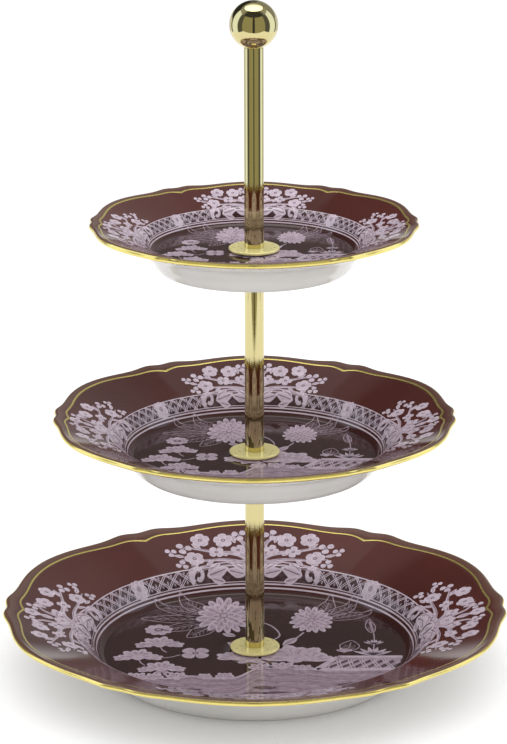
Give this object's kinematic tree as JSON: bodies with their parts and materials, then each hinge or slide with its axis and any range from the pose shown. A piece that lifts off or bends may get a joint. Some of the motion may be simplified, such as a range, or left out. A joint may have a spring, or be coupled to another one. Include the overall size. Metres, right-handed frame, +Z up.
{
  "type": "tiered cake stand",
  "caption": "Cake stand with scalloped plates of decreasing size on a straight brass stem that unscrews between the plates, each clamped by a flange disc, with a ball on top to carry it by.",
  "frame": {"origin": "centre of the bottom plate's foot ring, on the table", "axes": "+Z up along the stem, +X through a notch of the scalloped outline to the right, +Y through a lobe to the back"},
  "size_m": [0.2648, 0.2676, 0.3566],
  "materials": {
    "glaze": "dark burgundy-brown gloss glaze with pale lilac transfer decoration and a gold rim, greyish white underneath",
    "brass": "polished, lacquered",
    "steel": "zinc-plated",
    "gasket_rubber": "matt black washer"
  },
  "bodies": {
    "base": {"bottom_plate": "glaze", "bottom_plate_upper_gasket": "gasket_rubber", "bottom_plate_lower_gasket": "gasket_rubber", "base_washer": "steel", "base_bolt": "steel"},
    "bottom_flange": {"bottom_flange": "brass"},
    "lower_rod": {"lower_rod": "brass", "lower_rod_stud": "steel", "middle_support_disc": "brass"},
    "middle_plate": {"middle_plate": "glaze", "middle_plate_upper_gasket": "gasket_rubber", "middle_plate_lower_gasket": "gasket_rubber"},
    "middle_flange": {"middle_flange": "brass"},
    "middle_rod": {"middle_rod": "brass", "middle_rod_stud": "steel", "top_support_disc": "brass"},
    "top_plate": {"top_plate": "glaze", "top_plate_upper_gasket": "gasket_rubber", "top_plate_lower_gasket": "gasket_rubber"},
    "top_flange": {"top_flange": "brass"},
    "handle_rod": {"handle_rod": "brass", "finial_stud": "steel", "finial_ball": "brass"}
  },
  "joints": [
    {"name": "lower_rod_turn", "type": "hinge", "parent": "base", "child": "bottom_flange", "pos_m": [0, 0, 0.0107], "axis": [0, 0, 1], "range_deg": [0, 4320]},
    {"name": "lower_rod_lift", "type": "slide", "parent": "bottom_flange", "child": "lower_rod", "axis": [0, 0, 1], "range_m": [0, 0.012]},
    {"name": "middle_plate_swivel", "type": "hinge", "parent": "lower_rod", "child": "middle_plate", "pos_m": [0, 0, 0.11746], "axis": [0, 0, 1], "continuous": true},
    {"name": "middle_rod_turn", "type": "hinge", "parent": "lower_rod", "child": "middle_flange", "pos_m": [0, 0, 0.1198], "axis": [0, 0, 1], "range_deg": [0, 4320]},
    {"name": "middle_rod_lift", "type": "slide", "parent": "middle_flange", "child": "middle_rod", "axis": [0, 0, 1], "range_m": [0, 0.012]},
    {"name": "top_plate_swivel", "type": "hinge", "parent": "middle_rod", "child": "top_plate", "pos_m": [0, 0, 0.22686], "axis": [0, 0, 1], "continuous": true},
    {"name": "handle_rod_turn", "type": "hinge", "parent": "middle_rod", "child": "top_flange", "pos_m": [0, 0, 0.2292], "axis": [0, 0, 1], "range_deg": [0, 4320]},
    {"name": "handle_rod_lift", "type": "slide", "parent": "top_flange", "child": "handle_rod", "axis": [0, 0, 1], "range_m": [0, 0.012]}
  ],
  "couplings": [
    {"joint": "lower_rod_turn", "follows": "lower_rod_lift", "rad_per_m": 6283.2},
    {"joint": "middle_rod_turn", "follows": "middle_rod_lift", "rad_per_m": 6283.2},
    {"joint": "handle_rod_turn", "follows": "handle_rod_lift", "rad_per_m": 6283.2}
  ]
}
